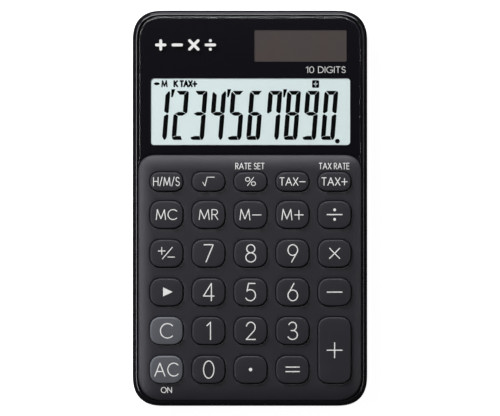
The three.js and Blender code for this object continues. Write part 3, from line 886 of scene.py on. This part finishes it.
# Each sign is (width over height, centrelines); a centreline runs in a unit square.
SIGNS = {
    "0": (0.62, [RING]),
    "1": (0.26, segments((0, 0.8), (1, 1), (1, 0))),
    "2": (0.60, [arc(0.5, 0.7, 0.48, 0.3, 165, -38) + [(0, 0)], [(0, 0), (1, 0)]]),
    "3": (
        0.58,
        [
            arc(0.47, 0.76, 0.42, 0.24, 155, -90),
            [(0.47, 0.52), (0.3, 0.52)],
            arc(0.47, 0.26, 0.53, 0.26, 90, -155),
        ],
    ),
    "4": (0.64, segments((0.75, 0), (0.75, 1), (0, 0.27), (1, 0.27))),
    "5": (0.60, [*segments((0.92, 1), (0.27, 1), (0.12, 0.55)), arc(0.45, 0.32, 0.52, 0.32, 128, -150)]),
    "6": (0.62, [oval(0.5, 0.31, 0.5, 0.31), [(0.05, 0.43), (0.62, 1)]]),
    "7": (0.58, [[(0, 1), (1, 1), (0.2, 0)]]),
    "8": (0.62, [oval(0.5, 0.765, 0.41, 0.235), oval(0.5, 0.265, 0.5, 0.265)]),
    "9": (0.62, [oval(0.5, 0.69, 0.5, 0.31), [(0.95, 0.57), (0.38, 0)]]),
    "A": (0.84, [*segments((0, 0), (0.5, 1), (1, 0)), [(0.19, 0.35), (0.81, 0.35)]]),
    "C": (0.86, [arc(0.585, 0.5, 0.585, 0.5, 45, 315)]),
    "D": (0.72, [[(0, 0), (0, 1)], [(0, 1), (0.35, 1)] + arc(0.35, 0.5, 0.65, 0.5, 90, -90)[1:] + [(0, 0)]]),
    "E": (0.50, [*segments((1, 1), (0, 1), (0, 0), (1, 0)), [(0, 0.52), (0.9, 0.52)]]),
    "G": (0.86, [arc(0.55, 0.5, 0.55, 0.5, 45, 350), [(0.62, 0.44), (1, 0.44)]]),
    "H": (0.66, [[(0, 0), (0, 1)], [(1, 0), (1, 1)], [(0, 0.52), (1, 0.52)]]),
    "I": (0.0, [[(0, 0), (0, 1)]]),
    "K": (0.60, [[(0, 0), (0, 1)], [(0.95, 1), (0, 0.4)], [(0.28, 0.57), (1, 0)]]),
    "M": (0.92, segments((0, 0), (0.12, 1), (0.5, 0.08), (0.88, 1), (1, 0))),
    "N": (0.74, segments((0, 0), (0, 1), (1, 0), (1, 1))),
    "O": (0.96, [RING]),
    "R": (
        0.54,
        [
            [(0, 0), (0, 1)],
            [(0, 1), (0.5, 1)] + arc(0.5, 0.75, 0.45, 0.25, 90, -90)[1:] + [(0, 0.5)],
            [(0.45, 0.5), (1, 0)],
        ],
    ),
    "S": (0.52, [arc(0.5, 0.745, 0.44, 0.255, 28, 270)[:-1] + arc(0.5, 0.245, 0.5, 0.245, 90, -152)]),
    "T": (0.60, [[(0, 1), (1, 1)], [(0.5, 0), (0.5, 1)]]),
    "X": (0.66, [[(0, 0), (1, 1)], [(0, 1), (1, 0)]]),
    "/": (0.34, [[(0, -0.04), (1, 1.04)]]),
    "+": (0.80, [[(0, 0.47), (1, 0.47)], [(0.5, 0.05), (0.5, 0.89)]]),
    "-": (0.80, [[(0, 0.47), (1, 0.47)]]),
    "%": (1.05, [oval(0.22, 0.76, 0.2, 0.24), oval(0.78, 0.24, 0.2, 0.24), [(0.2, 0), (0.8, 1)]]),
    "root": (1.5, segments((0, 0.42), (0.2, 0), (0.38, 1), (1, 1))),
}


def offset_loops(path, half_width):
    """The outline of a round-ended stroke along a path; a path that closes gives two loops."""
    points = np.array(path, float)
    closed = np.allclose(points[0], points[-1], atol=1e-6)
    if closed:
        points = points[:-1]
        before, after = np.roll(points, 1, axis=0), np.roll(points, -1, axis=0)
    else:
        before = np.vstack([points[:1], points[:-1]])
        after = np.vstack([points[1:], points[-1:]])
    along = after - before
    along /= np.linalg.norm(along, axis=1)[:, None]
    normal = np.stack([-along[:, 1], along[:, 0]], axis=1) * half_width
    left, right = (points + normal).tolist(), (points - normal).tolist()[::-1]
    if closed:
        return [left, right]

    def cap(centre, first):
        base = math.atan2(first[1], first[0])
        turns = [base - math.pi * i / 6 for i in range(1, 6)]
        return [(centre[0] + half_width * math.cos(t), centre[1] + half_width * math.sin(t)) for t in turns]

    return [[*left, *cap(points[-1], normal[-1]), *right, *cap(points[0], -normal[0])]]


def refined(path):
    """The path with its long runs divided evenly, so that print can follow a curved surface."""
    points = [path[0]]
    for (x0, y0), (x1, y1) in zip(path, path[1:]):
        parts = max(1, math.ceil(math.hypot(x1 - x0, y1 - y0) / LONGEST_STROKE))
        points += [(x0 + (x1 - x0) * i / parts, y0 + (y1 - y0) * i / parts) for i in range(1, parts + 1)]
    return points


def lettering(text, x, y, height, width, stroke):
    """Regions for a line of signs that fills a box of this width and height round (x, y)."""
    gap, space = 0.24, 0.42  # between signs, and for a blank
    marks = [text] if text in SIGNS else list(text)
    natural, places = 0.0, []
    for mark in marks:
        if mark == " ":
            natural += space
            continue
        places.append((mark, natural))
        natural += SIGNS[mark][0] + gap
    natural -= gap
    tall, wide = height - stroke, width - stroke
    scale = wide / natural
    left, bottom = x - wide / 2, y - tall / 2
    regions = []
    for mark, start in places:
        mark_width, paths = SIGNS[mark]
        for path in paths:
            placed = [(left + (start + u * mark_width) * scale, bottom + v * tall) for u, v in path]
            regions.append(offset_loops(refined(placed), stroke / 2))
    return regions


def line(x0, y0, x1, y1, thickness):
    return offset_loops(refined([(x0, y0), (x1, y1)]), thickness / 2)


def bar(x, y, width, thickness):
    reach = (width - thickness) / 2
    return line(x - reach, y, x + reach, y, thickness)


def post(x, y, height, thickness):
    reach = (height - thickness) / 2
    return line(x, y - reach, x, y + reach, thickness)


def dot(x, y, radius):
    return [circle(x, y, radius, 20)]


def plus_sign(x, y, width, height, thickness):
    return [bar(x, y, width, thickness), post(x, y, height, thickness)]


def times_sign(x, y, half, thickness):
    rising = line(x - half, y - half, x + half, y + half, thickness)
    return [rising, line(x - half, y + half, x + half, y - half, thickness)]


def divide_sign(x, y, width, thickness, dot_away, dot_radius):
    dots = [dot(x, y + dot_away, dot_radius), dot(x, y - dot_away, dot_radius)]
    return [bar(x, y, width, thickness), *dots]


def printed(name, regions, height, body=CASE, slot="legend", thickness=INK_THICKNESS, sunk=INK_SUNK):
    """A thin layer in the shape of the joined regions, lying on the surface height(x, y)."""
    loops = [loop for region in regions for loop in region]
    flat, triangles = triangulate(loops)
    centres = flat[triangles].mean(axis=1)
    kept = np.zeros(len(triangles), bool)
    for region in regions:
        kept |= inside(region, centres)
    shell = Shell()
    top = [(x, y, height(x, y) + thickness) for x, y in flat]
    bottom = [(x, y, height(x, y) - sunk) for x, y in flat]
    edges = set()
    for a, b, c in triangles[kept]:
        shell.face([top[a], top[b], top[c]])
        shell.face([bottom[c], bottom[b], bottom[a]])
        edges |= {(a, b), (b, c), (c, a)}
    for a, b in edges:
        if (b, a) not in edges:
            shell.face([bottom[a], bottom[b], top[b], top[a]])
    piece(shell.object(name), slot, body=body)


STROKE, BOLD, THIN = 0.31, 0.34, 0.26
LEGEND_LIFT, DIGIT_SHIFT = 0.07, 0.07  # how far print sits above a key's centre, and a digit to its right
DIGIT_HEIGHT = 5.45
DIGIT_WIDTHS = {
    "0": 3.4, "1": 1.35, "2": 3.05, "3": 3.05, "4": 3.45,
    "5": 3.3, "6": 3.2, "7": 3.0, "8": 3.25, "9": 3.2,
}
KEY_WORDS = {  # what is printed, its height, its width and its stroke
    "hms": ("H/M/S", 2.7, 7.95, 0.23),
    "tax_minus": ("TAX-", 2.5, 7.8, THIN),
    "tax_plus": ("TAX+", 2.5, 7.8, THIN),
    "mc": ("MC", 3.2, 6.35, THIN),
    "mr": ("MR", 3.2, 5.8, THIN),
    "m_minus": ("M-", 3.4, 6.55, THIN),
    "m_plus": ("M+", 3.4, 6.65, 0.28),
    "root": ("root", 2.8, 3.65, 0.2),
    "percent": ("%", 2.65, 3.3, 0.21),
    "c": ("C", 4.6, 3.9, STROKE),
    "ac": ("AC", 4.15, 7.2, STROKE),
}
SIGN_WIDTH = 4.7


def key_regions(name, x, y):
    """The print on one key, round its centre."""
    if name.isdigit():
        return lettering(name, x + DIGIT_SHIFT, y, DIGIT_HEIGHT, DIGIT_WIDTHS[name], STROKE)
    if name in KEY_WORDS:
        text, height, width, stroke = KEY_WORDS[name]
        return lettering(text, x, y, height, width, stroke)
    shapes = {
        "divide": divide_sign(x, y, SIGN_WIDTH, BOLD, 1.42, 0.42),
        "multiply": times_sign(x, y, 1.65 - STROKE / 2, STROKE),
        "minus": [bar(x, y, SIGN_WIDTH, BOLD)],
        "plus": plus_sign(x, y, SIGN_WIDTH, 4.75, BOLD),
        "equals": [bar(x, y + 0.74, 4.3, 0.32), bar(x, y - 0.6, 4.3, 0.32)],
        "point": [dot(x, y, 0.52)],
        "sign": [
            *plus_sign(x - 1.4, y + 0.7, 2.3, 2.3, THIN),
            line(x - 1.2, y - 1.65, x + 1.75, y + 1.8, 0.25),
            bar(x + 1.4, y - 1.1, 2.2, THIN),
        ],
        "shift": [[[(x - 1.02, y - 1.3), (x + 1.83, y + 0.05), (x - 1.02, y + 1.4)]]],
    }
    return shapes[name]


def on_panel(x, y):
    return RIM_TOP


def make_legends():
    for name, plan in KEY_PLANS.items():
        regions = key_regions(name, plan.x, plan.y + LEGEND_LIFT)
        printed(f"legend_{name}", regions, lambda x, y, p=plan: cap_height(p, x, y), body=f"key_{name}")

    percent, tax_plus, clear = KEY_PLANS["percent"], KEY_PLANS["tax_plus"], KEY_PLANS["ac"]
    above = percent.y + 4.67
    rate_set = lettering("RATE SET", percent.x - 0.18, above, 1.95, 8.7, 0.19)
    tax_rate = lettering("TAX RATE", tax_plus.x - 0.12, above, 1.95, 9.1, 0.19)
    on = lettering("ON", clear.x - 0.04, clear.y - 6.07, 1.85, 3.35, 0.25)
    printed("label_rate_set", rate_set, plate_height)
    printed("label_tax_rate", tax_rate, plate_height)
    printed("label_on", on, plate_height)
    printed("digits_note", lettering("10 DIGITS", 22.6, 41.3, 1.95, 11.9, 0.17), on_panel)

    x, y, size, stroke = -19.2, 48.7, 3.4, 0.85
    inner, outer = 2.47, 7.4  # from the middle of the row to its inner and outer signs
    signs = [
        *plus_sign(x - outer, y, size, size, stroke),
        bar(x - inner, y, size, stroke),
        *times_sign(x + inner, y, size / 2 - stroke / 2, stroke),
        *divide_sign(x + outer, y, size, stroke, 1.28, 0.45),
    ]
    printed("arithmetic_signs", signs, on_panel)


# ---------------- display digits
DIGIT_PITCH, LAST_DIGIT_X, DIGIT_MIDDLE_Y = 5.571, 23.8, 28.18
DIGIT_UP, DIGIT_DOWN = 6.86, 7.79  # how far a digit reaches above and below its middle
OUT, IN = 2.06, 0.69  # outer and inner edges of the upright segments
BAR_THICK, BAR_HALF = 1.18, 0.56  # end bars, and half the middle bar
SLANT = 0.0787
INDICATOR_Y, INDICATOR_HEIGHT = 37.16, 2.15
FIRST_MARK_X = -23.4
POINT_PLACE, POINT_RADIUS = (26.1, 20.0), 0.71
LIT = {
    "1": "bc", "2": "abged", "3": "abgcd", "4": "fgbc", "5": "afgcd",
    "6": "afgecd", "7": "fabc", "8": "abcdefg", "9": "afbgcd", "0": "abcdef",
}


def near(x, y, offsets):
    return [(x + across, y + along) for across, along in offsets]


def segment_shapes():
    """The seven segments round the middle of a digit, by letter, before they are slanted."""
    up, down = DIGIT_UP, -DIGIT_DOWN
    upper_middle = [(IN, 0.7), (IN + 0.88, 0.12), (OUT - 0.14, 0.26), (OUT, 0.55)]
    lower_middle = [(x, -y) for x, y in upper_middle]
    upper_right = near(OUT, up, [(0, -0.8), (-0.08, -0.4), (-0.28, -0.14), (-0.45, -0.08)])
    upper_left = near(OUT, up, [(0, -1.1), (-0.06, -0.65), (-0.24, -0.36), (-0.4, -0.34)])
    lower_right = near(OUT, down, [(0, 1.1), (-0.14, 0.55), (-0.38, 0.15), (-0.62, 0.02)])
    lower_left = near(OUT, down, [(0, 1.1), (-0.06, 0.86)])
    top_bar = near(-OUT, up, [(0.5, -0.12), (0.62, 0)]) + [(OUT - 0.52, up)]
    top_bar += [(IN - 0.06, up - BAR_THICK), (-IN + 0.08, up - BAR_THICK)]
    bottom_bar = near(-OUT, down, [(0.08, 0.78), (0.2, 0.4), (0.45, 0.12), (0.8, 0)]) + [(IN + 0.4, down)]
    bottom_bar += [(IN - 0.1, down + BAR_THICK), (-IN, down + BAR_THICK)]
    middle_bar = [(-OUT + 0.42, 0), (-IN + 0.1, BAR_HALF), (IN - 0.1, BAR_HALF), (OUT - 0.42, 0)]
    middle_bar += [(IN - 0.1, -BAR_HALF), (-IN + 0.1, -BAR_HALF)]

    def mirrored(points):
        return [(-x, y) for x, y in points]

    return {
        "a": top_bar,
        "b": upper_middle + upper_right + [(IN, up - BAR_THICK - 0.06)],
        "c": lower_middle + lower_right + [(IN + 0.55, down + 0.02), (IN, down + 1.04)],
        "d": bottom_bar,
        "e": mirrored(lower_middle + lower_left + [(IN, down + BAR_THICK + 0.08)]),
        "f": mirrored(upper_middle + upper_left + [(IN, up - BAR_THICK - 0.08)]),
        "g": middle_bar,
    }


def make_indicators():
    """The small signs above the digits: a lens shape, two letters, a word and a badge."""
    lens_x, lens_radius, lens_rise = -27.81, 1.12, 0.95
    upper_half = arc(lens_x, INDICATOR_Y - 0.5, lens_radius, lens_rise, 148, 32)
    lower_half = arc(lens_x, INDICATOR_Y + 0.5, lens_radius, lens_rise, -32, -148)
    regions = [[upper_half + lower_half]]
    for text, x, width, stroke in (
        ("M", -25.52, 1.9, 0.42),
        ("K", -22.12, 1.45, 0.52),
        ("TAX+", -18.35, 5.35, 0.52),
    ):
        regions += lettering(text, x, INDICATOR_Y, INDICATOR_HEIGHT, width, stroke)
    badge = Plan((18.55, 35.95), (20.65, 38.2), 0.3)
    cut_out = divide_sign(badge.x, badge.y, 1.25, 0.28, 0.55, 0.16)
    regions.append([badge.ring(steps=4), *(loop for region in cut_out for loop in region)])
    return regions


def make_digits():
    shapes = segment_shapes()
    regions = []
    for i, digit in enumerate("1234567890"):
        x = LAST_DIGIT_X - (9 - i) * DIGIT_PITCH
        for letter in LIT[digit]:
            regions.append([[(x + u + v * SLANT, DIGIT_MIDDLE_Y + v) for u, v in shapes[letter]]])
    top, bottom = DIGIT_MIDDLE_Y + 7.36, DIGIT_MIDDLE_Y + 4.94
    for i in range(3):  # the marks between groups of three digits
        x = FIRST_MARK_X + 3 * i * DIGIT_PITCH
        regions.append([[(x - 0.05, top), (x - 0.13, bottom), (x + 0.36, bottom), (x + 1.1, top)]])
    regions.append(dot(*POINT_PLACE, POINT_RADIUS))
    regions += make_indicators()
    printed("display_digits", regions, lambda x, y: LCD_HIGH.z, slot="lcd_segment", thickness=0.01, sunk=0.01)


# ---------------- inner pieces keep their CAD shapes
def dress_inner_pieces():
    slots = {row["node"]: row["material_slot"] for row in frame["record"]["subparts"]}
    for name, node in frame["nodes"].items():
        node.data.materials.clear()
        node.data.materials.append(LOOKS[slots[name]])


# ---------------- floor, light and camera
def make_floor():
    """A plain pale floor, lit evenly by itself and darkened only by contact shadows."""
    radius, pale, darker, lighter = 3000, 0.62, 0.61, 0.63
    shell = Shell()
    shell.face(at_height(circle(0, 0, radius, 96), 0))
    floor = shell.object("floor")
    look = Look("floor", (pale, pale, pale), 0.9, specular=0.0)
    look.shader.inputs["Emission Color"].default_value = (1, 1, 1, 1)
    look.shader.inputs["Emission Strength"].default_value = 0.95
    fine = look.ranged(look.noise(40.0), 0, 1)
    look.feed("Base Color", look.mixed(fine, (darker, darker, darker), (lighter, lighter, lighter)))
    floor.data.materials.append(look.material)
    floor.visible_glossy = False


def make_softbox(name, azimuth, zenith, distance, size, radiance, shine=True):
    """An area light aimed at the face, for shine or else for matt light.

    Azimuth runs anticlockwise from +X, and zenith from straight up.
    """
    turn, tilt = math.radians(azimuth), math.radians(zenith)
    level = distance * math.sin(tilt)
    place = Vector((level * math.cos(turn), level * math.sin(turn), distance * math.cos(tilt)))
    lamp = bpy.data.lights.new(name, "AREA")
    lamp.shape = "RECTANGLE"
    lamp.size, lamp.size_y = size
    lamp.color = (0.93, 0.94, 1.0) if shine else (1, 1, 1)
    lamp.energy = radiance * math.pi * size[0] * size[1]
    made = bpy.data.objects.new(name, lamp)
    made.location = place
    made.rotation_mode = "QUATERNION"
    made.rotation_quaternion = (-place).to_track_quat("-Z", "Y")
    made.visible_camera = False
    made.visible_glossy = shine
    made.visible_diffuse = not shine
    bpy.context.scene.collection.objects.link(made)


def make_room():
    """The dim room behind the softboxes."""
    world = bpy.data.worlds.new("room")
    world.use_nodes = True
    background = world.node_tree.nodes["Background"]
    background.inputs["Color"].default_value = (1, 1, 1, 1)
    background.inputs["Strength"].default_value = 0.05
    bpy.context.scene.world = world


def make_camera():
    """Straight above the face, far enough away to see it almost without perspective."""
    lens, sensor = 200.0, 36.0
    seen_width, seen_plane = 149.3, 6.2
    data = bpy.data.cameras.new("camera")
    data.lens, data.sensor_width = lens, sensor
    data.clip_start, data.clip_end = 0.01, 20
    camera = bpy.data.objects.new("camera", data)
    camera.location = (0.02 * MM, 0.06 * MM, (seen_width * lens / sensor + seen_plane) * MM)
    bpy.context.scene.collection.objects.link(camera)
    bpy.context.scene.camera = camera


def make_light():
    make_softbox("overhead_strip", 92, 25, 0.8, (0.55, 0.11), 16.0)
    make_softbox("left_strip", 178, 26, 0.8, (0.55, 0.09), 14.0)
    make_softbox("right_strip", 2, 26, 0.8, (0.55, 0.04), 7.2)
    make_softbox("back_panel", 92, 56, 1.0, (0.55, 0.45), 3.0)
    make_softbox("top_fill", 128, 65, 1.5, (0.57, 0.57), 48.0, shine=False)
    make_softbox("left_fill", 175, 50, 1.0, (0.8, 0.5), 0.4, shine=False)
    make_softbox("right_fill", 5, 50, 1.0, (0.8, 0.5), 0.3, shine=False)


# ---------------- the whole scene
bpy.context.scene.view_settings.view_transform = "Standard"
make_camera()
make_room()
make_light()
make_floor()
dress_inner_pieces()
make_front_case()
make_rear_cover()
make_feet()
make_screws()
make_display_panel()
make_panel_mask()
make_windows()
make_key_plate()
for key in KEY_NAMES:
    make_key(key)
make_dome_mat()
make_legends()
make_digits()
